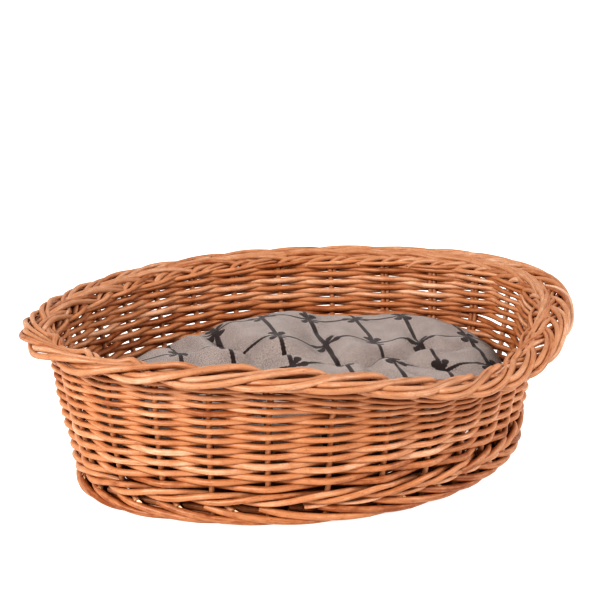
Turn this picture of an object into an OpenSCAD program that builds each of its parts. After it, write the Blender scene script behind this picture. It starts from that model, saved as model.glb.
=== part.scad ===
// Oval willow pet bed basket with a loose cushion.
// Origin: on the floor under the middle of the basket. +X runs along the length, -Y is the low front, +Z is up.

/* [Oval plan] */
// Distance from the middle to the centre of each end arc
end_centre_x = 156; // [140:1:170]
// Distance from the middle to the centre of the opposite long side arc
side_centre_y = 117; // [105:1:125]
// Radius of the end arcs on the stake line at floor level
end_r = 126; // [122:1:140]

/* [Wall] */
// Number of side stakes, a multiple of four
stake_count = 28; // [28:4:28]
// Diameter of a side stake
stake_d = 7; // [6:0.5:7]
// Outward lean of the wall, millimetres per millimetre of height
lean = 0.17; // [0.12:0.01:0.2]
// Number of rows of plain weave between the two bands of wale
row_count = 13; // [13:1:13]
// Diameter of a weaving rod
weaver_d = 5; // [4.5:0.1:5]
// Diameter of a rod in the bottom wale
upsett_d = 7; // [6:0.5:7]
// Diameter of a rod in the top wale
top_wale_d = 6; // [5:0.5:6]
// Air between rods that cross
weave_gap = 1.2; // [1:0.1:1.5]

/* [Rim] */
// Height of the middle of the border at the high back
rim_high = 188; // [184:1:195]
// How far the border dips at the front
rim_dip = 46; // [36:1:48]
// Direction of the lowest point, degrees round from +X
dip_direction = -64; // [-90:1:-60]
// Angular half width of the dip
dip_width = 41; // [36:1:46]
// Diameter of a border rod
border_d = 7; // [6:0.5:7]

/* [Base and foot] */
// Height of the base sticks above the floor
base_z = 20; // [19:0.5:22]
// Diameter of the short cross sticks
cross_stick_d = 11; // [11:0.5:12]
// Diameter of the long sticks threaded through them
long_stick_d = 7; // [6:0.5:7]
// Diameter of a rod in the foot border
foot_d = 10; // [9:0.5:10]

/* [Cushion] */
// Height of the crown of the cushion above the floor
cushion_top_z = 140; // [110:1:140]
// Gap between the cushion's outline and the stake line at the floor
cushion_inset = 8; // [6:1:20]
// Thickness of the cover fabric
cover_t = 1.5; // [1:0.1:2]

/* [Hidden] */

// Oval of four arcs: the side arcs meet the end arcs at this angle.
join_angle = atan2(side_centre_y, end_centre_x);
side_r = end_r + norm([end_centre_x, side_centre_y]);
// Offset from the floor oval to the wall at half height, where places are counted in stakes.
mid_wall = 14;
// The stakes stand in loose bunches: at each of these places, in stakes from the right-hand end,
// they are this far past their even places, easing from one to the next.
bunches = [[1.6, 0.01], [6.5, 0.62], [16.5, 0.14], [21, 0.67], [25.7, 0.14]];
end_len = (end_r + mid_wall) * join_angle;
side_len = (side_r + mid_wall) * (90 - join_angle);
quarter_len = end_len + side_len;
quarter_stakes = stake_count / 4;

// Each rod of a row or a wale reaches past two stakes, so fourteen rods make a round.
spans = 2;
rods_per_round = stake_count / spans;
rod_end_trim = 0.02;

weave_reach = (stake_d + weaver_d) / 2 + weave_gap + 0.3;
upsett_reach = (stake_d + upsett_d) / 2 + weave_gap;
top_wale_reach = (stake_d + top_wale_d) / 2 + weave_gap;

upsett_z = 24.5;
upsett_pitch = upsett_d + 0.9;
first_row_z = upsett_z + 3 * upsett_pitch - 0.3;
top_row_drop = 26.5;
top_wale_drops = [20, 13.2];
stake_foot_z = 1.5;
stake_top_drop = 9;

weave_sides = 6;
rod_sides = 8;

// Border rod: [stakes travelled, outward offset from the stake line at the floor, height over the rim's middle].
// It goes on from its stake, climbs over the inner rail, crosses to the outer edge and tucks back underneath.
stake_rise = 3;
border_route = [
    [0.12, 30, -2], [0.45, 30.5, 2.5], [1, 34, 5], [1.5, 41, 5.8],
    [2, 48.5, 5], [2.5, 56.5, 3.5], [3, 63, 0], [3.4, 63, -4], [3.8, 56, -5.6], [4.3, 46, -5.8]
];

base_ring_count = 6;
base_ring_first = -20;
base_ring_pitch = 8;
base_ring_d = 5;
base_ring_z = (cross_stick_d + base_ring_d) / 2 + 0.5;
stick_margin = 19;
cross_stick_pitch = 66;
long_stick_pitch = 22;
thread_clearance = 0.1;

foot_offset = (stake_d + foot_d) / 2 + 0.5;
foot_flat = 1;
end_pieces = 3;
side_pieces = 6;

cushion_bottom_z = base_z + base_ring_z + base_ring_d / 2 + 0.5;
cushion_seam_z = 78;
skin_gap = 0.4;
cushion_around = 32;

willow = "#d39a63";
willow_light = "#dfae78";
willow_dark = "#b97c48";
linen = "#b2a396";
filler = "#f1efe9";

// ---- Oval geometry -------------------------------------------------------

function on_end(theta) = abs(sin(theta)) < sin(join_angle);
function sign_of(v) = v < 0 ? -1 : 1;
function arc_centre(theta) = on_end(theta)
    ? [end_centre_x * sign_of(cos(theta)), 0]
    : [0, -side_centre_y * sign_of(sin(theta))];
function arc_radius(theta) = on_end(theta) ? end_r : side_r;
function outward(theta) = [cos(theta), sin(theta)];
function oval_point(theta, off) = arc_centre(theta) + (arc_radius(theta) + off) * outward(theta);

// How far the stake at place u stands past its even place.
function past_even(u) =
    let (first = bunches[0][0],
         v = u - stake_count * floor((u - first) / stake_count),
         i = max([for (k = [0:len(bunches) - 1]) if (bunches[k][0] <= v) k]),
         from = bunches[i],
         to = i < len(bunches) - 1 ? bunches[i + 1] : [first + stake_count, bunches[0][1]],
         t = (v - from[0]) / (to[0] - from[0]))
    from[1] + (to[1] - from[1]) * (1 - cos(180 * t)) / 2;

// Direction of the outward normal at a place counted in stakes from the right-hand end.
function theta_at(u) =
    let (place = u + past_even(u),
         turn = floor(place / stake_count), v = place - turn * stake_count,
         quarter = floor(v / quarter_stakes),
         s = (v - quarter * quarter_stakes) / quarter_stakes * quarter_len,
         from_end = quarter % 2 == 0)
    90 * quarter + (from_end
        ? (s < end_len ? s / (end_r + mid_wall)
                       : join_angle + (s - end_len) / (side_r + mid_wall))
        : (s < side_len ? s / (side_r + mid_wall)
                        : 90 - join_angle + (s - side_len) / (end_r + mid_wall)));

function angle_gap(a, b) = let (d = (a - b) % 360) d > 180 ? d - 360 : d < -180 ? d + 360 : d;
function rim_z(theta) =
    let (p = oval_point(theta, 46), g = angle_gap(atan2(p.y, p.x), dip_direction) / dip_width)
    rim_high - rim_dip * exp(-g * g);
function wall_point(theta, z, reach) =
    let (p = oval_point(theta, lean * z + reach)) [p.x, p.y, z];

// ---- Swept rod -----------------------------------------------------------

function unit(v) = v / norm(v);
function path_dir(path, i) = unit(path[min(i + 1, len(path) - 1)] - path[max(i - 1, 0)]);
function rod_ring(p, dir, out, r, sides) =
    let (side = unit(out - (out * dir) * dir), up = cross(dir, side))
    [for (k = [0:sides - 1]) p + r * (cos(360 * k / sides) * side + sin(360 * k / sides) * up)];

// Rod of round section along path; outs holds the outward direction at each point.
module rod(path, outs, r, sides) {
    n = len(path);
    pts = [for (i = [0:n - 1]) each rod_ring(path[i], path_dir(path, i), outs[i], r, sides)];
    skin = [for (i = [0:n - 2], k = [0:sides - 1]) let (a = i * sides + k, b = i * sides + (k + 1) % sides)
        each [[a, a + sides, b], [b, a + sides, b + sides]]];
    caps = [for (k = [1:sides - 2]) each [
        [0, k, k + 1], [(n - 1) * sides, (n - 1) * sides + k + 1, (n - 1) * sides + k]]];
    polyhedron(points = pts, faces = concat(skin, caps));
}

function flat_dir(theta) = [cos(theta), sin(theta), 0];

// One round of rods. Rod j starts behind a stake; pattern gives +1 outside or -1 inside at each stake.
module round_of_rods(pattern, shift, reach, d, sides, low, drop, share) {
    for (j = [0:rods_per_round - 1]) {
        places = [for (s = [0:spans]) j * spans + shift
            + (s == 0 ? rod_end_trim : s == spans ? spans - rod_end_trim : s)];
        sides_of_stake = [for (s = [0:spans]) pattern[(j * spans + s) % len(pattern)]];
        thetas = [for (u = places) theta_at(u)];
        path = [for (i = [0:spans]) let (top = rim_z(thetas[i]) - drop)
            wall_point(thetas[i], low + (top - low) * share, sides_of_stake[i] * reach)];
        rod(path, [for (t = thetas) flat_dir(t)], d / 2, sides);
    }
}

// ---- Base ----------------------------------------------------------------

function stick_half_y(x) = sqrt(pow(side_r - stick_margin, 2) - x * x) - side_centre_y;
function stick_half_x(y) = end_centre_x + sqrt(pow(end_r - stick_margin, 2) - y * y);

module long_stick(y, d) {
    translate([-stick_half_x(y), y, base_z]) rotate([0, 90, 0])
        cylinder(h = 2 * stick_half_x(y), d = d, $fn = 48);
}

module base_long_sticks() {
    color(willow_dark)
        for (i = [-2:2]) long_stick(i * long_stick_pitch, long_stick_d);
}

module base_cross_sticks() {
    color(willow)
        for (i = [-3:3]) {
            x = i * cross_stick_pitch;
            difference() {
                translate([x, stick_half_y(x), base_z]) rotate([90, 0, 0])
                    cylinder(h = 2 * stick_half_y(x), d = cross_stick_d, $fn = 48);
                for (k = [-2:2])
                    translate([x - cross_stick_d, k * long_stick_pitch, base_z]) rotate([0, 90, 0])
                        cylinder(h = 2 * cross_stick_d, d = long_stick_d + 2 * thread_clearance, $fn = 48);
            }
        }
}

// Closed oval ring of round rod lying flat, its centre line off outside the stake line.
module oval_ring(off, z, d) {
    for (side = [0, 180]) {
        rotate([0, 0, side]) translate([end_centre_x, 0, z])
            rotate_extrude(angle = 2 * join_angle, start = -join_angle, $fn = 96)
                translate([end_r + off, 0]) circle(d = d, $fn = 32);
        rotate([0, 0, side]) translate([0, -side_centre_y, z])
            rotate_extrude(angle = 180 - 2 * join_angle, start = join_angle, $fn = 192)
                translate([side_r + off, 0]) circle(d = d, $fn = 32);
    }
}

module base_weave(z, start) {
    for (i = [0:base_ring_count - 1])
        oval_ring(base_ring_first - start - 2 * i * base_ring_pitch, z, base_ring_d);
}

module base_weave_upper() { color(willow_light) base_weave(base_z + base_ring_z, 0); }
module base_weave_lower() { color(willow) base_weave(base_z - base_ring_z, base_ring_pitch); }

// Straight weavers that fill the middle of the base, over and under the cross sticks in turn.
module base_centre_weave() {
    hollow_r = side_r + base_ring_first - 2 * base_ring_count * base_ring_pitch;
    rows = floor((hollow_r - side_centre_y) / base_ring_pitch);
    color(willow)
        for (i = [-rows:rows]) {
            y = i * base_ring_pitch;
            half_x = sqrt(pow(hollow_r, 2) - pow(abs(y) + side_centre_y, 2));
            translate([-half_x, y, base_z + (i % 2 == 0 ? base_ring_z : -base_ring_z)]) rotate([0, 90, 0])
                cylinder(h = 2 * half_x, d = base_ring_d, $fn = 32);
        }
}

// ---- Foot ----------------------------------------------------------------

module foot_profile(r) {
    translate([r, foot_d / 2 - foot_flat]) intersection() {
        circle(d = foot_d, $fn = 48);
        translate([-foot_d, -foot_d / 2 + foot_flat]) square([2 * foot_d, foot_d]);
    }
}

// Foot border as short rods laid end to end round the oval, flat underneath.
module foot_ring(off) {
    end_step = 2 * join_angle / end_pieces;
    side_step = (180 - 2 * join_angle) / side_pieces;
    for (side = [0, 180]) {
        for (i = [0:end_pieces - 1])
            rotate([0, 0, side]) translate([end_centre_x, 0, 0])
                rotate_extrude(angle = end_step - 0.2, start = i * end_step - join_angle + 0.1, $fn = 96)
                    foot_profile(end_r + off);
        for (i = [0:side_pieces - 1])
            rotate([0, 0, side]) translate([0, -side_centre_y, 0])
                rotate_extrude(angle = side_step - 0.1, start = i * side_step + join_angle + 0.05, $fn = 192)
                    foot_profile(side_r + off);
    }
}

module foot_border_outer() { color(willow) foot_ring(foot_offset); }
module foot_border_inner() { color(willow_dark) foot_ring(-foot_offset); }

// ---- Stakes --------------------------------------------------------------

module stake(i) {
    theta = theta_at(i);
    foot = wall_point(theta, stake_foot_z, 0);
    top = wall_point(theta, rim_z(theta) - stake_top_drop, 0);
    translate(foot) rotate([0, atan(lean), theta])
        cylinder(h = norm(top - foot), d = stake_d, $fn = 32);
}

// Seven stakes centred on one side: 0 right, 1 back, 2 left, 3 front.
module stakes(quarter) {
    first = quarter * quarter_stakes - floor(quarter_stakes / 2);
    for (i = [first:first + quarter_stakes - 1]) stake(i);
}

module stakes_right() { color(willow_dark) stakes(0); }
module stakes_back() { color(willow_dark) stakes(1); }
module stakes_left() { color(willow_dark) stakes(2); }
module stakes_front() { color(willow_dark) stakes(3); }

// ---- Weaving -------------------------------------------------------------

// Bottom wale: each rod passes in front of two stakes and behind one.
module upsett_wale(k) {
    color(k % 2 == 0 ? willow : willow_light)
        round_of_rods([-1, 1, 1, -1], k, upsett_reach, upsett_d, rod_sides,
                      upsett_z + k * upsett_pitch, 0, 0);
}

module upsett_wale_a() { upsett_wale(0); }
module upsett_wale_b() { upsett_wale(1); }
module upsett_wale_c() { upsett_wale(2); }

// Plain weave: in front of one stake and behind the next, the next row the other way.
module weave_row(k) {
    color(k % 2 == 0 ? willow_light : willow)
        round_of_rods([-1, 1], k, weave_reach, weaver_d, weave_sides,
                      first_row_z, top_row_drop, k / (row_count - 1));
}

// Top wale, under the border.
module top_wale(k) {
    color(willow)
        round_of_rods([-1, 1], row_count + k, top_wale_reach, top_wale_d, rod_sides,
                      0, top_wale_drops[k], 1);
}

module top_wale_a() { top_wale(0); }
module top_wale_b() { top_wale(1); }

// ---- Border --------------------------------------------------------------

module border_rod(i) {
    own = theta_at(i);
    top = rim_z(own) - stake_top_drop;
    thetas = [for (p = border_route) theta_at(i - p[0])];
    laid = [for (k = [0:len(border_route) - 1])
        let (t = thetas[k], p = oval_point(t, border_route[k][1])) [p.x, p.y, rim_z(t) + border_route[k][2]]];
    path = concat([wall_point(own, top, 0), wall_point(own, top + stake_rise, 0)], laid);
    rod(path, [for (t = concat([own, own], thetas)) flat_dir(t)], border_d / 2, rod_sides);
}

module border_rods(quarter) {
    first = quarter * quarter_stakes - floor(quarter_stakes / 2);
    color(quarter % 2 == 0 ? willow_light : willow)
        for (i = [first:first + quarter_stakes - 1]) border_rod(i);
}

module border_rods_right() { border_rods(0); }
module border_rods_back() { border_rods(1); }
module border_rods_left() { border_rods(2); }
module border_rods_front() { border_rods(3); }

// ---- Cushion -------------------------------------------------------------

// Solid with oval rings: profile lists [share of the outline, height] from the top pole to the bottom pole.
module oval_solid(profile) {
    n = len(profile);
    m = cushion_around;
    outline = [for (k = [0:m - 1]) oval_point(theta_at(stake_count * k / m), -cushion_inset)];
    pts = [for (i = [1:n - 2]) each [for (p = outline) [profile[i][0] * p.x, profile[i][0] * p.y, profile[i][1]]]];
    top = len(pts);
    bottom = top + 1;
    fan_top = [for (k = [0:m - 1]) [top, (k + 1) % m, k]];
    last = (n - 3) * m;
    fan_bottom = [for (k = [0:m - 1]) [bottom, last + k, last + (k + 1) % m]];
    skin = [for (i = [0:n - 4], k = [0:m - 1]) let (a = i * m + k, b = i * m + (k + 1) % m)
        each [[a, b, a + m], [b, b + m, a + m]]];
    polyhedron(points = concat(pts, [[0, 0, profile[0][1]], [0, 0, profile[n - 1][1]]]),
               faces = concat(fan_top, skin, fan_bottom));
}

crown_steps = [0.35, 0.6, 0.78, 0.9, 0.97];
crown_power = 4;
belly_power = 5.7;
function dome(k, rise, power) = rise * sqrt(1 - pow(k, power));
function upper(trim, drop) = [for (k = crown_steps)
    [k * trim, cushion_seam_z + dome(k, cushion_top_z - drop - cushion_seam_z, crown_power)]];
function lower(trim, lift) = [for (i = [len(crown_steps) - 1:-1:0]) let (k = crown_steps[i])
    [k * trim, cushion_seam_z - dome(k, cushion_seam_z - cushion_bottom_z - lift, belly_power)]];
function backwards(list) = [for (i = [len(list) - 1:-1:0]) list[i]];
inner_trim = 1 - cover_t / 150;
fill_trim = 1 - (cover_t + skin_gap) / 150;
fill_skin = cover_t + skin_gap;

module cushion_cover_top() {
    color(linen) oval_solid(concat(
        [[0, cushion_top_z]], upper(1, 0), [[1, cushion_seam_z], [inner_trim, cushion_seam_z]],
        backwards(upper(inner_trim, cover_t)), [[0, cushion_top_z - cover_t]]));
}

module cushion_cover_bottom() {
    color(linen) oval_solid(concat(
        [[0, cushion_bottom_z + cover_t]], backwards(lower(inner_trim, cover_t)),
        [[inner_trim, cushion_seam_z - skin_gap], [1, cushion_seam_z - skin_gap]],
        lower(1, 0), [[0, cushion_bottom_z]]));
}

module cushion_filling() {
    color(filler) oval_solid(concat(
        [[0, cushion_top_z - fill_skin]], upper(fill_trim, fill_skin), [[fill_trim, cushion_seam_z]],
        lower(fill_trim, fill_skin), [[0, cushion_bottom_z + fill_skin]]));
}

base_cross_sticks();
base_long_sticks();
base_weave_upper();
base_weave_lower();
base_centre_weave();
foot_border_outer();
foot_border_inner();
stakes_right();
stakes_back();
stakes_left();
stakes_front();
upsett_wale_a();
upsett_wale_b();
upsett_wale_c();
weave_row(0);  // weave_row_01
weave_row(1);  // weave_row_02
weave_row(2);  // weave_row_03
weave_row(3);  // weave_row_04
weave_row(4);  // weave_row_05
weave_row(5);  // weave_row_06
weave_row(6);  // weave_row_07
weave_row(7);  // weave_row_08
weave_row(8);  // weave_row_09
weave_row(9);  // weave_row_10
weave_row(10);  // weave_row_11
weave_row(11);  // weave_row_12
weave_row(12);  // weave_row_13
top_wale_a();
top_wale_b();
border_rods_right();
border_rods_back();
border_rods_left();
border_rods_front();
cushion_cover_top();
cushion_cover_bottom();
cushion_filling();
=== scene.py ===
"""Looks of an oval willow pet bed basket with a printed cushion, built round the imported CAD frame.

Units are metres. Places round the basket are counted in stakes, u, from the right-hand end and
counter-clockwise seen from above. Offsets go outward from the stake line at the floor.
"""

import math

import bpy
import numpy as np
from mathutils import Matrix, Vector


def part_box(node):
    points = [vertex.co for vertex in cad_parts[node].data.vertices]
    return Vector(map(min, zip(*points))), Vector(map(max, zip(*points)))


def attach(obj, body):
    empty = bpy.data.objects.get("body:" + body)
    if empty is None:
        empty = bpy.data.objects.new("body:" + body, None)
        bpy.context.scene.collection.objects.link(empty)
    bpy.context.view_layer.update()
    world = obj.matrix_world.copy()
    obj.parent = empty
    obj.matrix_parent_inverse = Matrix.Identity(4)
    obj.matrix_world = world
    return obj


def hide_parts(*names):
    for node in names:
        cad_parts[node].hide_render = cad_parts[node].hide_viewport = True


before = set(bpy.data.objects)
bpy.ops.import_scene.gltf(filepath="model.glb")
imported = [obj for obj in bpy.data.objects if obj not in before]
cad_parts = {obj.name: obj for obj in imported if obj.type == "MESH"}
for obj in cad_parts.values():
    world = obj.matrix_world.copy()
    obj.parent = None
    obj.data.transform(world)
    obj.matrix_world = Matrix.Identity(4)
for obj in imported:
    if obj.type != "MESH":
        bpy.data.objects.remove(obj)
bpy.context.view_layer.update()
rng = np.random.default_rng(20)

MM = 0.001

# ---- Driving dimensions, the same oval as the CAD frame ------------------

END_X = 156 * MM          # centre of the end arcs
SIDE_Y = 117 * MM         # centre of the side arcs
END_R = 126 * MM          # radius of the end arcs on the stake line at the floor
SIDE_R = END_R + math.hypot(END_X, SIDE_Y)
JOIN = math.atan2(SIDE_Y, END_X)
MID_WALL = 14 * MM        # offset where the stakes are evenly spaced
STAKES = 28
QUARTER = STAKES / 4
LEAN = 0.17               # outward lean of the wall
FOOT_DRAW = 6 * MM        # how far the left-hand end draws in at the floor
DRAW_TOP = 110 * MM       # height to which it draws in
BORDER_OFF = 46 * MM      # offset of the middle of the border
RIM_HIGH = 188 * MM       # its height away from the dip in the front
RIM_DIP = 46 * MM
DIP_AT = math.radians(-64)
DIP_WIDTH = math.radians(41)
END_LEN = (END_R + MID_WALL) * JOIN
SIDE_LEN = (SIDE_R + MID_WALL) * (math.pi / 2 - JOIN)
PITCH = 4 * (END_LEN + SIDE_LEN) / STAKES
BUNCHES = (               # the stakes stand in loose bunches: at u, this far past their even places
    (1.6, 0.01), (6.5, 0.62), (16.5, 0.14), (21, 0.67), (25.7, 0.14))

STAKE_RAD = 3.5 * MM
BORDER_RAD = 3.85 * MM
UPSETT_RAD = 3.8 * MM
FOOT_RAD = 4.1 * MM
STEP = 3.5 * MM           # spacing of rings along a rod


# ---- Oval geometry -------------------------------------------------------

def past_even(u):
    """How far the stake at u stands past its even place, easing from each bunch to the next."""
    knots = np.array([u_at for u_at, _ in BUNCHES] + [BUNCHES[0][0] + STAKES])
    values = np.array([far for _, far in BUNCHES] + [BUNCHES[0][1]])
    v = (u - knots[0]) % STAKES + knots[0]
    i = np.clip(np.searchsorted(knots, v, side="right") - 1, 0, len(BUNCHES) - 1)
    t = (v - knots[i]) / (knots[i + 1] - knots[i])
    return values[i] + (values[i + 1] - values[i]) * (1 - np.cos(math.pi * t)) / 2


def theta_at(u):
    """Direction of the outward normal at u stakes from the right-hand end."""
    u = np.asarray(u, float)
    at = u + past_even(u)
    turn = np.floor(at / STAKES)
    v = at - turn * STAKES
    quarter = np.floor(v / QUARTER)
    s = (v - quarter * QUARTER) / QUARTER * (END_LEN + SIDE_LEN)
    end_r, side_r = END_R + MID_WALL, SIDE_R + MID_WALL
    from_end = np.where(s < END_LEN, s / end_r, JOIN + (s - END_LEN) / side_r)
    from_side = np.where(s < SIDE_LEN, s / side_r, math.pi / 2 - JOIN + (s - SIDE_LEN) / end_r)
    return math.pi / 2 * quarter + np.where(quarter % 2 == 0, from_end, from_side)


def oval_point(theta, off):
    """Plan point at an offset outward from the stake line, as an (n, 2) array."""
    c, s = np.cos(theta), np.sin(theta)
    end = np.abs(s) < math.sin(JOIN)
    cx = np.where(end, np.copysign(END_X, c), 0.0)
    cy = np.where(end, 0.0, -np.copysign(SIDE_Y, s))
    r = np.where(end, END_R, SIDE_R) + off
    return np.stack([cx + r * c, cy + r * s], -1)


def rim_z(u):
    """Height of the middle of the border."""
    p = oval_point(theta_at(u), BORDER_OFF)
    gap = np.arctan2(p[..., 1], p[..., 0]) - DIP_AT
    gap = (gap + math.pi) % (2 * math.pi) - math.pi
    return RIM_HIGH - RIM_DIP * np.exp(-((gap / DIP_WIDTH) ** 2))


def smoothstep(x, low, high):
    """0 up to low, 1 from high, and an even ease between them."""
    t = np.clip((x - low) / (high - low), 0, 1)
    return t * t * (3 - 2 * t)


def place(u, off, z):
    """Points of a path given by place round the basket, offset and height."""
    u, off, z = np.broadcast_arrays(np.asarray(u, float), off, z)
    return np.concatenate([oval_point(theta_at(u), off), z[:, None]], 1)


def wall(u, z):
    """Offset of the middle of the wall at height z; the left-hand end draws in towards its foot."""
    left = smoothstep(-np.cos(theta_at(u)), 0.2, 1.0)
    return LEAN * z - FOOT_DRAW * left * (1 - smoothstep(z, 0, DRAW_TOP))


def outward(u):
    """Unit vectors that point out of the basket at the places u."""
    t = theta_at(u)
    return np.stack([np.cos(t), np.sin(t), np.zeros_like(t)], -1)


def spline(knots, values, at):
    """Catmull-Rom curve through values at the knots, evaluated at the places in at."""
    k, v, at = np.asarray(knots, float), np.asarray(values, float), np.asarray(at, float)
    slope = np.gradient(v, k)
    i = np.clip(np.searchsorted(k, at, side="right") - 1, 0, len(k) - 2)
    h = k[i + 1] - k[i]
    t = (at - k[i]) / h
    return ((2 * t**3 - 3 * t**2 + 1) * v[i] + (t**3 - 2 * t**2 + t) * h * slope[i]
            + (3 * t**2 - 2 * t**3) * v[i + 1] + (t**3 - t**2) * h * slope[i + 1])


def wander(length, at, spacing, amount):
    """Smooth random wander along a rod, amount at most, changing over about spacing."""
    knots = np.arange(-2, length / spacing + 3) * spacing
    return spline(knots, rng.uniform(-amount, amount, len(knots)), at)


def in_scene(name, data):
    """A new object for the data, linked to the scene."""
    made = bpy.data.objects.new(name, data)
    bpy.context.scene.collection.objects.link(made)
    return made


# ---- Rods ----------------------------------------------------------------

THICKNESS_WANDER = 0.035  # share of its radius by which a rod varies in thickness
FIRST_KNOT = (20, 90)     # least and greatest distance of the first knot from the end, in millimetres
KNOT_GAP = (70, 130)      # and of each knot from the next
KNOT_SWELL = 0.09         # share of the radius by which a knot stands out
KNOT_LENGTH = 2.6 * MM
END_DOME = 0.28           # height of a rounded end over its radius
END_PALE = 0.2            # how pale a rounded end is, against 1 for one cut on the slant
GRAIN_RADIUS = 3 * MM     # radius at which every rod reads the grain


class Rods:
    """Collects round rods and turns them into one mesh that carries its grain."""

    def __init__(self, name):
        self.name = name
        self.points, self.grain, self.tone, self.pale = [], [], [], []
        self.quads, self.tris = [], []
        self.count = 0

    def add(self, path, radius, out, tone=0.0, sides=10, knots=True, slant=0.0):
        """Add a rod along the path; out is the direction of its first side, slant tilts its last end."""
        path = np.asarray(path, float)
        n = len(path)
        along = np.concatenate([[0], np.cumsum(np.linalg.norm(np.diff(path, axis=0), axis=1))])
        tangent = np.gradient(path, axis=0)
        tangent /= np.linalg.norm(tangent, axis=1)[:, None]
        side = out - (out * tangent).sum(1)[:, None] * tangent
        side /= np.linalg.norm(side, axis=1)[:, None]
        up = np.cross(tangent, side)
        r = np.broadcast_to(radius, n) * (1 + wander(along[-1], along, 22 * MM, THICKNESS_WANDER))
        if knots:
            for at in np.arange(rng.uniform(*FIRST_KNOT), along[-1] / MM, rng.uniform(*KNOT_GAP)):
                r = r * (1 + KNOT_SWELL * np.exp(-(((along - at * MM) / KNOT_LENGTH) ** 2)))
        angle = 2 * math.pi * np.arange(sides) / sides
        cos, sin = np.cos(angle)[None, :, None], np.sin(angle)[None, :, None]
        circle = cos * side[:, None] + sin * up[:, None]
        rings = path[:, None] + r[:, None, None] * circle
        rings[-1] += slant * r[-1] * np.cos(angle)[:, None] * tangent[-1]
        shift = rng.uniform(0, 40, 3)
        grain = np.stack([
            np.broadcast_to(along[:, None], (n, sides)),
            np.broadcast_to(np.cos(angle) * GRAIN_RADIUS, (n, sides)),
            np.broadcast_to(np.sin(angle) * GRAIN_RADIUS, (n, sides))], -1) + shift
        base = self.count
        ring_ids = base + np.arange(n * sides).reshape(n, sides)
        a, b = ring_ids[:-1], ring_ids[1:]
        self.quads.append(np.stack([a, np.roll(a, -1, 1), np.roll(b, -1, 1), b], -1).reshape(-1, 4))
        rod_points, rod_grain = [rings.reshape(-1, 3)], [grain.reshape(-1, 3)]
        pale = [np.zeros(n * sides)]
        at = base + n * sides
        for end, flip in ((0, False), (n - 1, True)):
            dome = tangent[end] * r[end] * (END_DOME if flip else -END_DOME)
            rod_points += [rings[end], (path[end] + dome)[None]]
            rod_grain += [grain[end], grain[end].mean(0)[None]]
            pale.append(np.full(sides + 1, 1.0 if slant and flip else END_PALE))
            ids = at + np.arange(sides)
            tri = np.stack([ids, np.roll(ids, -1), np.full(sides, at + sides)], -1)
            self.tris.append(tri if flip else tri[:, ::-1])
            at += sides + 1
        self.points.append(np.concatenate(rod_points))
        self.grain.append(np.concatenate(rod_grain))
        self.pale.append(np.concatenate(pale))
        self.tone.append(np.full(at - base, tone))
        self.count = at

    def build(self, material, body="basket"):
        """Make the piece and let it ride on its body."""
        mesh = bpy.data.meshes.new(self.name)
        faces = np.concatenate(self.quads).tolist() + np.concatenate(self.tris).tolist()
        mesh.from_pydata(np.concatenate(self.points).tolist(), [], faces)
        for name, kind, data in (("grain", "FLOAT_VECTOR", self.grain), ("tone", "FLOAT", self.tone),
                                 ("pale", "FLOAT", self.pale)):
            attribute = mesh.attributes.new(name, kind, "POINT")
            key = "vector" if kind == "FLOAT_VECTOR" else "value"
            attribute.data.foreach_set(key, np.concatenate(data).astype(np.float32).ravel())
        mesh.shade_smooth()
        mesh.materials.append(material)
        piece = in_scene(self.name, mesh)
        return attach(piece, body)


def random_tone(spread=0.4):
    """How pale a rod is among the others, from -1 for the darkest to 1."""
    return float(np.clip(rng.normal(0, spread), -1, 1))


# ---- Stakes and border ---------------------------------------------------

HALF_PAIR = 3.5 * MM      # half the distance between the two rods of a pair
BORDER_TONES = 0.36       # spread of the tones in the border
DOUBLED = (1, 2, 3)       # stakes whose second rod runs down the whole wall beside the first
FIRST_START = 3 * MM      # heights at which the first and the second rod of a doubled stake start
SECOND_START = 24 * MM
BESIDE = 0.1              # how far the second rod stands beside the first, in stakes
TRIPLE_END = 0.55         # cosine of the direction past which a third rod lies between the pairs


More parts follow.
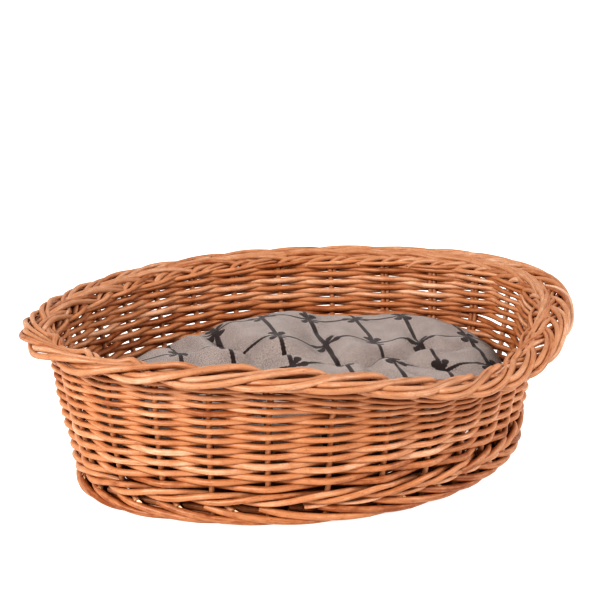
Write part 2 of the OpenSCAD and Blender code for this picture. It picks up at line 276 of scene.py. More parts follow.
def border_knots(i):
    """The knots of a border rod that rises at stake i: places along it, offsets, heights and turns.

    Along most of the rim the rod crosses outward under the rods that come back and over the outer
    rail, runs round the outer edge, comes back underneath, rises in the middle and ends along the
    inner rail. At the front it crosses over the rim instead, falls to the outer edge, comes up again
    where a later pair falls and ends beneath the next.
    """
    theta = float(theta_at(i - 1.0))
    side = math.sin(theta) ** 2
    right = float(smoothstep(math.cos(theta), 0.2, 0.9))
    left = float(smoothstep(-math.cos(theta), 0.2, 0.9))
    back = float(smoothstep(math.sin(theta), 0.1, 0.8))
    front = float(smoothstep(-math.sin(theta), 0.3, 0.8)) * (1 - right)
    rise = 0.28
    out_at = rise + 1.15 + 0.4 * side * (1 - front) + 0.12 * front + 0.1 * left + rng.uniform(-0.08, 0.08)
    turn_at = out_at + 1.0 - 0.35 * left - 0.3 * front + rng.uniform(-0.08, 0.08)
    in_at = (turn_at + 1.25 + 0.2 * side) * (1 - front) + (rise + 2.67) * front
    going, coming, ending = out_at - rise, in_at - turn_at, 1 - 0.62 * front
    far = 55.5 + 12.5 * right + 7 * left
    wall_off = float(wall(np.array([1.0 * i]), rim_z(np.array([1.0 * i])) - 13 * MM)[0]) / MM
    calm = 1 - 0.3 * back
    # Each row: place in stakes; offset; heights over the rim at the ends, at the front and at the back;
    # and how far the pair is turned about the rod, in degrees. Offsets and heights are in millimetres.
    rows = (
        (0, wall_off, -13, -13, -13, -90),
        (0.1, wall_off + 0.5, -8, -5, -8, -80),
        (rise, 32, -4.5, 4.5, -4.5, -35),
        (rise + 0.35 * going, 38 - 3 * front, -1.5, 4.8, -1.5, 0),
        (rise + 0.68 * going, far - 12, 3.4, 2.8, 2.6, 0),
        (out_at, far - 4, 4.8, -0.8, 3.4, 20),
        ((out_at + turn_at) / 2, far, 2.5, -3.2, 2.8, 45),
        (turn_at, far, -2.2, -5.2, 0.8, 50),
        (turn_at + 0.35 * coming, far - 6, -3.6 * calm, -6.6, -2.6, 25),
        (turn_at + 0.65 * coming, (far + 36) / 2, -0.5, -6, -0.8, 0),
        (in_at, 41 - front, 4.2 * calm, -3.5, 2.6, 0),
        (in_at + 0.5 * ending, 37 + 3 * back - 3 * front, 3.6 * calm, 0.5, 2.6, 0),
        (in_at + ending, 33 + 4 * back - 4.5 * front, 0, 2.2, 0, -35),
        (in_at + 1.4 * ending + 0.15 * front, 31 + 4 * back + 2 * front, -5, -2.2, -5, -60),
        (in_at + 1.7 * ending + 0.55 * front, 33 + 2 * back + front, -11, -4, -11, -70))
    knots, off, high, falling, level, turned = np.array(rows, float).T
    lift = 2.5 * front * float(smoothstep(math.cos(theta), -0.2, 0.5))
    high = high + front * (falling - high) + back * (level - high) + lift
    return knots, off, high, turned


def border_path(i, hand):
    """One rod of the pair that rises at stake i, plaited clockwise into the border."""
    knots, off, high, turned = border_knots(i)
    s = np.arange(0, knots[-1], STEP / PITCH)
    x = s * PITCH
    d = spline(knots, off, s) * MM + wander(x[-1], x, 45 * MM, 0.7 * MM)
    h = spline(knots, high, s) * MM + wander(x[-1], x, 45 * MM, 0.6 * MM)
    face = np.radians(spline(knots, turned, s))
    path = np.stack([x, d, h], 1)
    lateral = np.cross(np.gradient(path, axis=0), np.stack([0 * face, np.sin(face), np.cos(face)], 1))
    lateral /= np.linalg.norm(lateral, axis=1)[:, None]
    path = path + hand * HALF_PAIR * lateral
    u = i - path[:, 0] / PITCH
    return u, path[:, 1], rim_z(u) + path[:, 2]


def stake_radius(thick, share):
    """Radius at a share of a rod's length: an upright below, easing into a tapering border rod."""
    border = smoothstep(share, 0.3, 0.5)
    return thick * (1 - border) + BORDER_RAD * (1.05 - 0.16 * share) * border


def make_stakes_and_border():
    rods = Rods("stakes_and_border")
    for i in range(STAKES):
        for hand, aside, thick in ((-1, 0, STAKE_RAD), (1, -BESIDE, STAKE_RAD * 0.85)):
            u, d, z = border_path(i, hand)
            bottom = FIRST_START
            if hand == 1:
                bottom = SECOND_START if i in DOUBLED else float(z[0]) - 8 * MM
            low = np.arange(bottom, z[0] - STEP, STEP)
            near_top = smoothstep(low, z[0] - 50 * MM, z[0])
            u_low = i + (u[0] - i) * near_top + aside * (1 - near_top) + wander(0.2, low, 60 * MM, 0.012)
            d_low = wall(u_low, low) + (d[0] - wall(u[:1], z[:1])) * near_top
            path = np.concatenate([place(u_low, d_low, low), place(u, d, z)])
            out = np.concatenate([outward(u_low), outward(u)])
            radius = stake_radius(thick, np.linspace(0, 1, len(path)))
            rods.add(path, radius, out, random_tone(BORDER_TONES), sides=12)
        if math.cos(float(theta_at(i - 1.0))) > TRIPLE_END:
            u, d, z = border_path(i + 0.5, 0)
            radius = BORDER_RAD * np.linspace(1, 0.86, len(u))
            rods.add(place(u, d, z), radius, outward(u), random_tone(BORDER_TONES), sides=12)
    return rods


# ---- Wall ----------------------------------------------------------------

ROWS = 24
FIRST_ROW_Z = 45 * MM
FIRST_ROW_PITCH = 7.3 * MM
TOP_ROW_DROP = 13.5 * MM  # how far the last row lies below the middle of the border
MOST_SQUEEZE = 0.72       # limit to how much closer the rows may lie towards the rim
TUCK = 0.3                # how far a weave rod runs past its last stake, in stakes
SHORT_ROWS = (            # this row and the next are left out for so many stakes each side of a place
    (12, 5.8, 4.8), (14, 22.4, 3.6), (18, 22.4, 2.2))


def left_out(u, middle, reach):
    """1 within reach stakes of the middle and 0 well outside it."""
    gap = np.abs((np.asarray(u) - middle + STAKES / 2) % STAKES - STAKES / 2)
    return 1 - smoothstep(gap, reach - 0.9, reach + 0.9)


def row_z(k, u):
    """Height of weave row k, and the local pitch of the rows, which lie closer towards the rim."""
    order, total = np.full_like(u, k), np.full_like(u, ROWS - 1.0)
    for first, middle, reach in SHORT_ROWS:
        gone = left_out(u, middle, reach)
        order = order - gone * min(max(k - first + 0.5, 0), 2)
        total = total - 2 * gone
    height = rim_z(u) - TOP_ROW_DROP - FIRST_ROW_Z
    squeeze = np.clip(FIRST_ROW_PITCH * total / height - 1, 0, MOST_SQUEEZE)
    t = order / total
    z = FIRST_ROW_Z + height * ((1 + squeeze) * t - squeeze * t * t)
    pitch = height / total * (1 + squeeze - 2 * squeeze * t)
    return z, pitch


def end_near(u, k):
    """The stake nearest u where row k can end out of sight: outside at the back, inside at the front."""
    inside = 0 if math.sin(float(theta_at(u))) > 0 else 1
    return 2 * round((u - k - inside) / 2) + k + inside


def weave_rod(rods, k, start, stop, tone):
    """One rod of row k from stake start to stake stop, thicker where the rows lie farther apart."""
    u = np.arange(start - TUCK, stop + TUCK, STEP / PITCH)
    z, pitch = row_z(k, u)
    share = (u - u[0]) / (u[-1] - u[0])
    if rng.uniform() < 0.5:
        share = 1 - share
    back = smoothstep(np.sin(theta_at(u)), 0, 0.8)
    left = smoothstep(-np.cos(theta_at(u)), 0.3, 0.9)
    size = (1.6 * MM + 0.42 * MM * back + 0.33 * pitch) * (1.05 - 0.12 * share) * (1 - 0.07 * left)
    flattening = 0.07
    wave = (np.cos(math.pi * (u - k)) + flattening * np.cos(3 * math.pi * (u - k))) / (1 + flattening)
    reach = (STAKE_RAD + size * 0.96) * (0.88 - 0.2 * back) * wave
    into_end = np.maximum(smoothstep(start + 0.15 - u, 0, 0.45), smoothstep(u - stop + 0.15, 0, 0.45))
    size = size * (1 - 0.2 * into_end)
    reach = reach + into_end * 1.5 * MM * np.sign(wave)
    length = (u[-1] - u[0]) * PITCH
    at = (u - u[0]) * PITCH
    z = z + wander(length, at, 55 * MM, 0.55 * MM) + into_end * rng.uniform(-1, 1) * 1.2 * MM
    reach = reach + wander(length, at, 40 * MM, 0.45 * MM)
    rods.add(place(u, wall(u, z) + reach, z), size, outward(u), tone)


def make_wall():
    rods = Rods("wall_weave")
    for k in range(ROWS):
        short = [(middle, reach) for first, middle, reach in SHORT_ROWS if k - first in (0, 1)]
        if short:
            middle, reach = short[0]
            start = end_near(middle + reach, k)
            stop = end_near(middle - reach + STAKES, k)
        else:
            start = end_near(rng.uniform(0, STAKES), k)
            stop = start + STAKES
        joint = end_near(start + rng.uniform(0.4, 0.6) * (stop - start), k)
        weave_rod(rods, k, start, joint, random_tone())
        weave_rod(rods, k, joint, stop, random_tone())
    return rods


def wale(rods, z_of, radius, beat, start, stakes, rise, period=3, tone=0.0, further=0.0):
    """One rod of a wale: inside one stake of each period, outside the others, climbing as it goes."""
    knots = np.arange(-1, stakes + 2)
    phase = (knots + beat) % period
    reach_at = np.where(phase == 0, -1.0, 1.0)
    lift = np.where(phase == 0, 0.0, (phase - period / 2) * 2 / max(period - 2, 1))
    along = np.arange(0, stakes, STEP / PITCH)
    u = start + along
    reach = spline(knots, reach_at, along) * (STAKE_RAD + radius * 0.97)
    height = z_of(u) + spline(knots, lift, along) * rise
    height = height + wander(stakes * PITCH, along * PITCH, 60 * MM, 0.5 * MM)
    taper = 1.06 - 0.14 * (along / stakes)
    rods.add(place(u, wall(u, height) + reach + further, height), radius * taper, outward(u), tone)


def make_wales():
    """Three rods round the foot of the wall, three under the border, and two thin ones half way round."""
    rods = Rods("wales")
    length = 14.4             # each rod goes half way round and a little past the start of the next
    for beat in range(3):
        for start in (0, STAKES // 2):
            wale(rods, lambda u: np.full_like(u, 31.5 * MM), UPSETT_RAD, beat + start, 8 + start, length,
                 4.4 * MM, tone=random_tone())
            wale(rods, lambda u: rim_z(u) - 8.5 * MM, 3 * MM, beat + start, 6 + start, length,
                 2.6 * MM, tone=random_tone() - 0.15)
    for beat in range(2):
        wale(rods, lambda u: np.full_like(u, 21.5 * MM), 2.3 * MM, beat, 18.6, 13.5, 0,
             period=2, tone=0.7, further=1.5 * MM)
    return rods


# ---- Foot ----------------------------------------------------------------

FOOT_KNOTS = (            # places along a foot rod, in stakes
    -0.15, 0.1, 0.6, 1.1, 1.7, 2.2, 2.6)
FOOT_RODS = (             # start past the stake, in stakes, then heights and offsets at the knots in mm
    (0, (19, 16.5, 11.5, 7, 4.5, 4.2, 5), (1, 5.5, 9.2, 9.6, 8.2, 3.5, -2)),
    (0.5, (17, 15, 10.5, 7, 4.6, 4.1, 5), (-4, -6.5, -8.5, -9, -8, -4.5, 0)))


def make_foot():
    """The plaited ring on which the basket stands: an outer and an inner rod for each stake."""
    rods = Rods("foot_border")
    for i in range(STAKES):
        for start, high, off in FOOT_RODS:
            s = np.arange(FOOT_KNOTS[0], FOOT_KNOTS[-1], STEP / PITCH)
            along = s * PITCH + 0.02
            reach = spline(FOOT_KNOTS, off, s) * MM + wander(0.3, along, 50 * MM, 0.6 * MM)
            z = spline(FOOT_KNOTS, high, s) * MM + wander(0.3, along, 50 * MM, 0.6 * MM)
            z = np.maximum(z, FOOT_RAD * 1.08)
            taper = 1.05 - 0.15 * ((s - s[0]) / (s[-1] - s[0]))
            u = i + s + start
            path = place(u, wall(u, z) + reach, z)
            rods.add(path, FOOT_RAD * taper, outward(u), random_tone(), sides=12)
    return rods


HIDDEN_STUBS = 0.25       # share of the stakes whose butt end doesn't show


def make_stubs():
    """Butt ends of the stakes, cut off on the slant where they come out over the foot."""
    rods = Rods("cut_ends")
    for i in range(STAKES):
        if rng.uniform() < HIDDEN_STUBS:
            continue
        s = np.linspace(0, 1, 12)
        u = i - 0.02 + (0.16 + 0.22 * s) * rng.uniform(0.8, 1.3)
        z = (25 - 9.5 * s) * MM + rng.uniform(-1, 1) * MM
        reach = (-4 + 11.5 * s) * MM
        radius = rng.uniform(3.4, 4.1) * MM
        rods.add(place(u, wall(u, z) + reach, z), radius, outward(u), random_tone(),
                 slant=rng.uniform(-2.2, -1.2), knots=False)
    return rods


# ---- Base ----------------------------------------------------------------

BASE_Z = 20 * MM
CROSS_GAP = 66 * MM       # distance between the cross sticks
LONG_GAP = 18 * MM        # distance between the long sticks
ROUND_GAP = 5.9 * MM      # distance between the rods of the base weave
BASE_ROD = 2.8 * MM       # radius of the rods of the base weave
ROUNDS = 19               # rounds of weave from the edge inward; straight rods fill the middle


def make_base():
    """Cross sticks, long sticks, the weave round them and two rods under the edge behind the foot, in the
    darkest tone as painted shade.
    """
    rods = Rods("base")

    def lay(path, radius, tone):
        rods.add(path, radius, np.repeat([[0.0, 0.0, 1.0]], len(path), 0), tone)

    for i in range(-3, 4):
        x = i * CROSS_GAP
        half = math.sqrt((SIDE_R - 8 * MM) ** 2 - x * x) - SIDE_Y
        y = np.arange(-half, half, STEP)
        lay(np.stack([np.full_like(y, x), y, np.full_like(y, BASE_Z)], 1), 4.6 * MM, random_tone() - 0.3)
    for i in range(-2, 3):
        y = i * LONG_GAP
        half = END_X + math.sqrt((END_R - 8 * MM) ** 2 - y * y)
        x = np.arange(FOOT_DRAW - half, half, STEP)
        bend = 1 + 0.9 * smoothstep(np.abs(x), 190 * MM, 270 * MM)
        lay(np.stack([x, y * bend, np.full_like(x, BASE_Z)], 1), 3.4 * MM, random_tone() - 0.3)
    u = np.arange(0, STAKES + 0.3, STEP / PITCH)
    edge = wall(u, 0 * u)
    for row in range(ROUNDS):
        wave = 5.2 * MM * np.cos(math.pi * (u - row))
        z = BASE_Z + wave + wander(3, u * PITCH, 60 * MM, 0.4 * MM)
        lay(place(u, edge - 8.5 * MM - row * ROUND_GAP, z), BASE_ROD, random_tone())
    for row in range(-13, 14):
        y = row * ROUND_GAP
        half = math.sqrt((SIDE_R - 121 * MM) ** 2 - (abs(y) + SIDE_Y) ** 2)
        x = np.arange(-half, half, STEP)
        wave = 7.2 * MM * np.cos(math.pi * (x / CROSS_GAP - row))
        z = BASE_Z + wave + wander(0.6, x + half, 60 * MM, 0.4 * MM)
        lay(np.stack([x, np.full_like(x, y), z], 1), BASE_ROD, random_tone())
    # Painted shade: these two rods take the darkest tone and fill the gap above the foot, where there is
    # only shadow.
    for inward, height in ((13 * MM, 12.5 * MM), (18 * MM, 10.5 * MM)):
        lay(place(u, edge - inward, np.full_like(u, height)), 3.2 * MM, -1.0)
    return rods


# ---- Cushion -------------------------------------------------------------

CUSHION_GRID = 120
CUSHION_FIT = 0.985       # size of the pad over the box of its two covers
CUSHION_RAISE = 1.5 * MM  # how far the top and the bottom lie above that box
SEAM_Z = 78 * MM
PUCKERS = (               # waves round the seam, and the phase of each
    (23, 0.4), (37, 2.1), (61, 4.4))
PUCKER_DEPTH = 1.1 * MM
UNDER_SHIFT = (31 * MM, 17 * MM, 0)     # the under panel is cut from another place in the cloth
FOLDS = (                 # plan points, depth and half width in millimetres, and softness of each fold
    (((-58, 150), (-62, 108), (-66, 71), (-52, 42), (-51, 14)), 17, 11, 0.3),
    (((-120, 40), (-51, 14), (-10, -4), (24, -38), (55, -51), (108, -35), (154, -22)), 15, 10, 0.4),
    (((70, 95), (56, 66), (40, 42), (28, 5), (24, -38)), 14, 20, 1.0),
    (((186, 40), (172, 10), (154, -22)), 10, 10, 0.5),
    (((154, -22), (182, -44), (215, -50)), 9, 8, 0.2),
    (((55, -51), (44, -92), (60, -130)), 12, 10, 0.6),
    (((108, -35), (128, -78), (165, -115)), 10, 9, 0.4),
    (((-51, 14), (-90, -40), (-80, -110)), 10, 14, 0.8),
    (((-120, 40), (-175, 30), (-225, 50)), 9, 12, 0.6),
    (((-130, 165), (-110, 120), (-120, 80)), 8, 12, 1.0))


def distances(x, y, line):
    """Distance of plan points x, y from a line of straight pieces, and from the nearer of its ends."""
    away = np.full_like(x, 1.0)
    for a, b in zip(line[:-1], line[1:]):
        along = b - a
        t = np.clip(((x - a[0]) * along[0] + (y - a[1]) * along[1]) / (along @ along), 0, 1)
        away = np.minimum(away, np.hypot(x - a[0] - t * along[0], y - a[1] - t * along[1]))
    first, last = (np.hypot(x - end[0], y - end[1]) for end in (line[0], line[-1]))
    return away, np.minimum(first, last)


def fold_depth(x, y):
    """Depth of the folds at plan points x, y: creases between slightly raised sides."""
    depth = np.zeros_like(x)
    for line, deep, wide, soft in FOLDS:
        away, to_end = distances(x, y, np.array(line, float) * MM)
        near = away / (wide * MM)
        fade = 0.35 + 0.65 * smoothstep(to_end, 0, 30 * MM)
        crease = soft * np.exp(-(near**2)) + (1 - soft) * np.exp(-1.3 * near)
        sides = 0.22 * np.exp(-(((near - 2.4) / 1.1) ** 2))
        depth += deep * MM * fade * (crease - sides)
    return depth


def crown_at(x, y):
    """Share of its full height to which the pad is filled at plan points x, y."""
    across = 0.86 + 0.14 * np.sin(np.clip(y / (115 * MM), -1.1, 1) * math.pi / 2)
    along = (0.8 + 0.2 * smoothstep(x, -95 * MM, 5 * MM) - 0.2 * smoothstep(x, 60 * MM, 110 * MM)
             + 0.1 * smoothstep(x, 150 * MM, 220 * MM))
    return across * along


def cushion_shell():
    """Points and faces of the two panels sewn into a pad, and the place of each point in the cloth."""
    low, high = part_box("cushion_cover_bottom")[0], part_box("cushion_cover_top")[1]
    half_x, half_y = (high.x - low.x) / 2 * CUSHION_FIT, (high.y - low.y) / 2 * CUSHION_FIT
    n = CUSHION_GRID
    a, b = np.meshgrid(np.linspace(-1, 1, n + 1), np.linspace(-1, 1, n + 1))
    u, v = a * np.sqrt(1 - b * b / 2), b * np.sqrt(1 - a * a / 2)
    x, y = u * half_x, v * half_y
    r = np.minimum(np.hypot(u, v), 1)
    fullness = 6.5 + 5.5 * smoothstep(x, 40 * MM, 220 * MM)
    top = SEAM_Z + (high.z + CUSHION_RAISE - SEAM_Z) * crown_at(x, y) * (1 - r**fullness) ** 0.5
    bearing = np.arctan2(v, u)
    puckers = sum(np.sin(bearing * waves + phase) for waves, phase in PUCKERS)
    puckers = puckers * np.exp(-((1 - r) / 0.09)) * (r < 1)
    top = top - fold_depth(x, y) * np.clip((1 - r) * 6, 0, 1) + puckers * PUCKER_DEPTH
    bottom = SEAM_Z - (SEAM_Z - low.z - CUSHION_RAISE) * (1 - r**5.5) ** 0.5
    grid = np.arange((n + 1) ** 2).reshape(n + 1, n + 1)
    inside = np.zeros_like(grid, bool)
    inside[1:-1, 1:-1] = True
    under = grid.copy()
    under[inside] = (n + 1) ** 2 + np.arange(inside.sum())
    points = [np.stack([x, y, top], -1).reshape(-1, 3), np.stack([x, y, bottom], -1)[inside]]
    faces = [np.stack([g[:-1, :-1], g[:-1, 1:], g[1:, 1:], g[1:, :-1]], -1).reshape(-1, 4)[:, ::turn]
             for g, turn in ((grid, 1), (under, -1))]
    flat = np.stack([x, y, 0 * x], -1)
    cloth = np.concatenate([flat.reshape(-1, 3), flat[inside]])
    return np.concatenate(points), np.concatenate(faces), cloth


def make_cushion(material):
    points, faces, flat = cushion_shell()
    mesh = bpy.data.meshes.new("cushion")
    mesh.from_pydata(points.tolist(), [], faces.tolist())
    corners = flat[faces.ravel()]
    corners[len(corners) // 2:] += UNDER_SHIFT
    cloth = mesh.attributes.new("cloth", "FLOAT_VECTOR", "CORNER")
    cloth.data.foreach_set("vector", corners.astype(np.float32).ravel())
    mesh.materials.append(material)
    mesh.shade_smooth()
    piece = in_scene("cushion", mesh)
    smooth = piece.modifiers.new("round", "SUBSURF")
    smooth.levels = smooth.render_levels = 1
    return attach(piece, "cushion")


# ---- Materials -----------------------------------------------------------

class Nodes:
    """A new material, with short ways to add nodes to its tree."""

    def __init__(self, name):
        self.material = bpy.data.materials.new(name)
        self.material.use_nodes = True
        self.tree = self.material.node_tree
        self.shader = self.tree.nodes["Principled BSDF"]

    def feed(self, node, inputs):
        """Give each input of a node, by name or number, a value or the socket that feeds it."""
        for key, value in inputs.items():
            socket = node.inputs[key]
            if isinstance(value, bpy.types.NodeSocket):
                self.tree.links.new(value, socket)
            elif socket.type == "RGBA":
                socket.default_value = (*value, 1.0)
            else:
                socket.default_value = value

    def add(self, kind, inputs, **settings):
        node = self.tree.nodes.new(kind)
        for key, value in settings.items():
            setattr(node, key, value)
        self.feed(node, inputs)
        return node

    def math(self, operation, a, b=None):
        inputs = {0: a} if b is None else {0: a, 1: b}
        return self.add("ShaderNodeMath", inputs, operation=operation).outputs[0]

    def weighted(self, *parts):
        """Sum of sockets, each times its weight."""
        total, *others = [self.math("MULTIPLY", socket, weight) for socket, weight in parts]
        for part in others:
            total = self.math("ADD", total, part)
        return total

    def mix(self, factor, a, b):
        node = self.add("ShaderNodeMix", {"Factor": factor, "A": a, "B": b}, data_type="RGBA")
        return node.outputs["Result"]

    def noise(self, vector, scale, detail, roughness=0.55):
        """Noise that is finer by scale along each of the vector's axes."""
        scaled = self.add("ShaderNodeVectorMath", {0: vector, 1: scale}, operation="MULTIPLY").outputs[0]
        inputs = {"Vector": scaled, "Scale": 1.0, "Detail": detail, "Roughness": roughness}
        return self.add("ShaderNodeTexNoise", inputs).outputs["Fac"]

    def ramp(self, value, low, high):
        """0 up to low, 1 from high, and an even ease between them."""
        inputs = {"Value": value, "From Min": low, "From Max": high}
        return self.add("ShaderNodeMapRange", inputs, interpolation_type="SMOOTHSTEP").outputs["Result"]

    def plan(self, vector):
        """The x and y of a vector."""
        node = self.add("ShaderNodeSeparateXYZ", {0: vector})
        return node.outputs[0], node.outputs[1]

    def attribute(self, name, output="Fac"):
        return self.add("ShaderNodeAttribute", {}, attribute_name=name).outputs[output]

    def bump(self, height, distance, strength):
        node = self.add("ShaderNodeBump", {"Height": height, "Distance": distance, "Strength": strength})
        self.feed(self.shader, {"Normal": node.outputs["Normal"]})


CUT_WOOD = (0.80, 0.62, 0.42)


def willow(name, dark, mid, light, shift=0.0):
    """Buff willow: long grain streaks, mottling, dark specks and pale cut ends. A negative shift darkens
    the whole material as painted shade.
    """
    n = Nodes(name)
    grain = n.attribute("grain", "Vector")
    streaks = n.noise(grain, (18, 900, 900), 4, 0.65)
    mottle = n.noise(grain, (60, 200, 200), 3, 0.65)
    slow = n.noise(grain, (5, 20, 20), 2)
    specks = n.noise(grain, (330, 800, 800), 2, 0.7)
    level = n.weighted((n.attribute("tone"), 0.24), (streaks, 0.7), (mottle, 0.7), (slow, 0.6))
    level = n.math("ADD", level, shift - 0.5)
    colour = n.mix(n.ramp(level, 0.1, 0.5), dark, mid)
    colour = n.mix(n.ramp(level, 0.5, 0.95), colour, light)
    speck_colour = tuple(part * 0.35 for part in dark)
    colour = n.mix(n.math("MULTIPLY", n.ramp(specks, 0.62, 0.72), 0.6), colour, speck_colour)
    colour = n.mix(n.attribute("pale"), colour, CUT_WOOD)
    rough = n.add("ShaderNodeMapRange", {"Value": streaks, "To Min": 0.58, "To Max": 0.36})
    n.feed(n.shader, {"Base Color": colour, "Roughness": rough.outputs["Result"],
                      "Specular IOR Level": 0.5})
    n.bump(n.math("ADD", streaks, n.math("MULTIPLY", mottle, 0.8)), 0.25 * MM, 0.6)
    return n.material


CELL_X, CELL_Y = 62 * MM, 84 * MM       # spacing of the printed trellis
TRELLIS_AT = (13 * MM, 128 * MM, 0)
TRELLIS_TURN = math.radians(-16)
TWIST = 4.2 * MM          # length of one turn of a printed cord
THREAD = 1.1 * MM         # length of one wave of the threads
BOW_TURN = 0.45           # angle of every second bow; the others are turned a radian further
BOW_LOBES = (             # middle and radius of the discs that make a quarter of a bow, in millimetres
    (12.2, 6.5, 4.9), (7.5, 4.0, 3.5), (2.2, 0.9, 3.6))
CLOTH_DARK, CLOTH_LIGHT = (0.086, 0.068, 0.060), (0.375, 0.317, 0.291)
INK_DARK, INK_LIGHT = (0.018, 0.011, 0.010), (0.048, 0.032, 0.030)


def past_line(n, coordinate):
    """Distance past the nearest line of the trellis, in cells."""
    return n.math("SUBTRACT", n.math("FRACT", n.math("ADD", coordinate, 0.5)), 0.5)


def cord(n, across, along, cell, run, half_width):
    """1 on the twisted cords of one direction, fading over a hair at their edges."""
    twist = n.math("SINE", n.math("MULTIPLY", along, 2 * math.pi * run / TWIST))
    half = n.math("ADD", half_width, n.math("MULTIPLY", twist, 0.3 * MM))
    away = n.math("MULTIPLY", n.math("ABSOLUTE", past_line(n, across)), cell)
    return n.math("SUBTRACT", 1.0, n.ramp(n.math("SUBTRACT", away, half), -0.2 * MM, 0.25 * MM))


def bows(n, x, y):
    """The lobes of the bows tied where the cords cross, turned one way and the other by turns."""
    cell_x = n.math("MULTIPLY", past_line(n, x), CELL_X / MM)
    cell_y = n.math("MULTIPLY", past_line(n, y), CELL_Y / MM)
    column, row = (n.math("FLOOR", n.math("ADD", side, 40.5)) for side in (x, y))
    angle = n.math("ADD", BOW_TURN, n.math("MODULO", n.math("ADD", column, row), 2.0))
    cos, sin = n.math("COSINE", angle), n.math("SINE", angle)
    bow_x = n.math("ADD", n.math("MULTIPLY", cell_x, cos), n.math("MULTIPLY", cell_y, sin))
    bow_y = n.math("SUBTRACT", n.math("MULTIPLY", cell_y, cos), n.math("MULTIPLY", cell_x, sin))
    bow_x, bow_y = n.math("ABSOLUTE", bow_x), n.math("ABSOLUTE", bow_y)
    for lobe_x, lobe_y, radius in BOW_LOBES:
        dx, dy = n.math("SUBTRACT", bow_x, lobe_x), n.math("SUBTRACT", bow_y, lobe_y)
        away = n.math("SQRT", n.math("ADD", n.math("MULTIPLY", dx, dx), n.math("MULTIPLY", dy, dy)))
        yield n.math("SUBTRACT", 1.0, n.ramp(away, radius - 0.25, radius + 0.25))


def printed_cloth():
    """Plain-woven linen printed with a trellis of twisted cords tied in bows."""
    n = Nodes("printed_linen")
    flat = n.attribute("cloth", "Vector")
    turn, cell = (0, 0, TRELLIS_TURN), (CELL_X, CELL_Y, 1)
    in_cells = {"Vector": flat, "Location": TRELLIS_AT, "Rotation": turn, "Scale": cell}
    trellis = n.add("ShaderNodeMapping", in_cells, vector_type="TEXTURE").outputs[0]
    wobble = n.add("ShaderNodeTexNoise", {"Vector": trellis, "Scale": 1.6, "Detail": 1}).outputs["Color"]
    bend = {0: wobble, 1: (0.09, 0.09, 0), 2: trellis}
    x, y = n.plan(n.add("ShaderNodeVectorMath", bend, operation="MULTIPLY_ADD").outputs[0])
    ink = cord(n, x, y, CELL_X, CELL_Y, 2.6 * MM)
    for part in (cord(n, y, x, CELL_Y, CELL_X, 2.1 * MM), *bows(n, x, y)):
        ink = n.math("MAXIMUM", ink, part)
    warp = n.noise(flat, (2600, 500, 1), 2, 0.7)
    weft = n.noise(flat, (500, 2600, 1), 2, 0.7)
    slubs = n.math("ADD", warp, weft)
    blotch = n.noise(flat, (30, 30, 1), 2)
    flecks = n.noise(flat, (800, 800, 1), 3, 0.8)
    waves = [n.math("SINE", n.math("MULTIPLY", side, 2 * math.pi / THREAD)) for side in n.plan(flat)]
    threads = n.math("MULTIPLY", *waves)
    level = n.weighted((slubs, 0.8), (flecks, 1.3), (blotch, 0.3), (threads, 0.2))
    light = n.ramp(level, 1.15, 1.95)
    cloth, print_colour = n.mix(light, CLOTH_DARK, CLOTH_LIGHT), n.mix(light, INK_DARK, INK_LIGHT)
    colour = n.mix(ink, cloth, print_colour)
    n.feed(n.shader, {"Base Color": colour, "Roughness": 0.88, "Specular IOR Level": 0.25,
                      "Sheen Weight": 0.15})
    n.bump(n.math("ADD", threads, slubs), 0.3 * MM, 0.5)
    return n.material


# ---- Studio --------------------------------------------------------------

FLOOR_HALF = 14.0
KEY_AT, KEY_SIZE, KEY_POWER = (-2.95, -1.2, 2.05), 1.2, 97
FILL_AT, FILL_SIZE, FILL_POWER = (1.8, -1.4, 1.4), 1.4, 24
WORLD_STRENGTH = 0.65


def make_floor():
    """A white floor that glows a little, and more the farther it lies from the basket."""
    n = Nodes("studio_floor")
    here = n.add("ShaderNodeTexCoord", {}).outputs["Object"]
    away = n.add("ShaderNodeVectorMath", {0: here}, operation="LENGTH").outputs["Value"]
    glow = n.math("ADD", 0.45, n.math("MULTIPLY", n.ramp(away, 0.5, 4.0), 0.4))
    n.feed(n.shader, {"Base Color": (0.55, 0.55, 0.55), "Roughness": 1.0, "Specular IOR Level": 0.0,
                      "Emission Color": (1, 1, 1), "Emission Strength": glow})
    mesh = bpy.data.meshes.new("studio_floor")
    corners = [(x * FLOOR_HALF, y * FLOOR_HALF, 0) for x, y in ((-1, -1), (1, -1), (1, 1), (-1, 1))]
    mesh.from_pydata(corners, [], [(0, 1, 2, 3)])
    mesh.materials.append(n.material)
    floor = in_scene("studio_floor", mesh)


def area_light(name, location, size, power):
    """A square white lamp that points at the basket."""
    data = bpy.data.lights.new(name, "AREA")
    data.shape = "SQUARE"
    data.size = size
    data.energy = power
    light = in_scene(name, data)
    light.location = location
    light.rotation_mode = "QUATERNION"
    light.rotation_quaternion = (Vector((0, 0, 0.1)) - Vector(location)).to_track_quat("-Z", "Y")


def make_lights():
    world = bpy.data.worlds.new("studio")
    world.use_nodes = True
    background = world.node_tree.nodes["Background"]
    background.inputs["Color"].default_value = (1, 1, 1, 1)
    background.inputs["Strength"].default_value = WORLD_STRENGTH
    bpy.context.scene.world = world
    bpy.context.scene.view_settings.view_transform = "Standard"
    bpy.context.scene.view_settings.look = "Very High Contrast"
    area_light("key", KEY_AT, KEY_SIZE, KEY_POWER)
    area_light("fill", FILL_AT, FILL_SIZE, FILL_POWER)


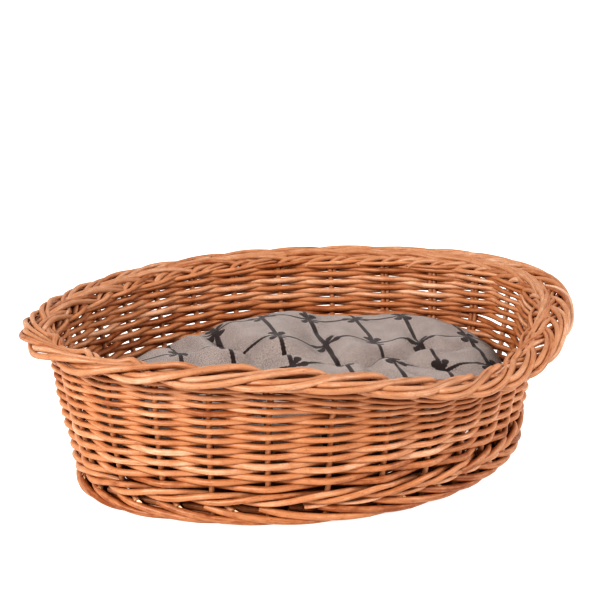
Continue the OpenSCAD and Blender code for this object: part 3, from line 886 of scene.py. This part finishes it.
def make_camera():
    """The eye stands in front, round to the left-hand end and a little above the rim."""
    yaw, rise, distance = math.radians(-30), math.radians(18.8), 2.054
    back = Vector((math.sin(yaw) * math.cos(rise), -math.cos(yaw) * math.cos(rise), math.sin(rise)))
    middle = Vector((0, 0, 0.08))
    focal = 2.793             # focal length over the image's width
    low, left = 0.1521, -0.0079         # how far the basket's middle lies below and beside the view's
    data = bpy.data.cameras.new("camera")
    data.sensor_width = 36
    data.lens = 36 * focal
    camera = in_scene("camera", data)
    camera.location = middle + back * distance
    camera.rotation_mode = "QUATERNION"
    right = (-back).cross(Vector((0, 0, 1))).normalized()
    above = right.cross(-back)
    aim = middle + distance / focal * (above * low + right * left)
    camera.rotation_quaternion = (aim - camera.location).to_track_quat("-Z", "Y")
    bpy.context.scene.camera = camera


# ---- Scene ---------------------------------------------------------------

DARK, MID, LIGHT = (0.21, 0.063, 0.015), (0.40, 0.184, 0.088), (0.575, 0.365, 0.25)
BORDER_MID, BORDER_LIGHT = (0.37, 0.182, 0.095), (0.53, 0.355, 0.26)

wall_willow = willow("willow_wall", DARK, MID, LIGHT)
border_willow = willow("willow_border", DARK, BORDER_MID, BORDER_LIGHT)
# Painted shade: the base and the foot take a darker copy of the wall willow, since the glowing floor
# lights them too brightly.
shaded_base_willow = willow("willow_base", DARK, MID, LIGHT, -0.14)

WALL_NODES = [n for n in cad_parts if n.startswith("weave_row")]
STAKE_NODES = [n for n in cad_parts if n.startswith(("stakes_", "border_rods"))]
WALE_NODES = [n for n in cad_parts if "wale" in n]
FOOT_NODES = [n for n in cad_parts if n.startswith("foot_border")]
BASE_NODES = [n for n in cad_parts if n.startswith("base_")]

for rods, nodes, material, slot in (
        (make_stakes_and_border(), STAKE_NODES, border_willow, "willow_border"),
        (make_wall(), WALL_NODES, wall_willow, "willow_weave"),
        (make_wales(), WALE_NODES, wall_willow, "willow_border"),
        (make_foot(), FOOT_NODES, shaded_base_willow, "willow_border"),
        (make_stubs(), [], border_willow, "willow_border"),
        (make_base(), BASE_NODES, shaded_base_willow, "willow_base")):
    piece = rods.build(material)
    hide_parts(*nodes)

cushion = make_cushion(printed_cloth())
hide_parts("cushion_cover_top", "cushion_cover_bottom", "cushion_filling")

make_floor()
make_lights()
make_camera()
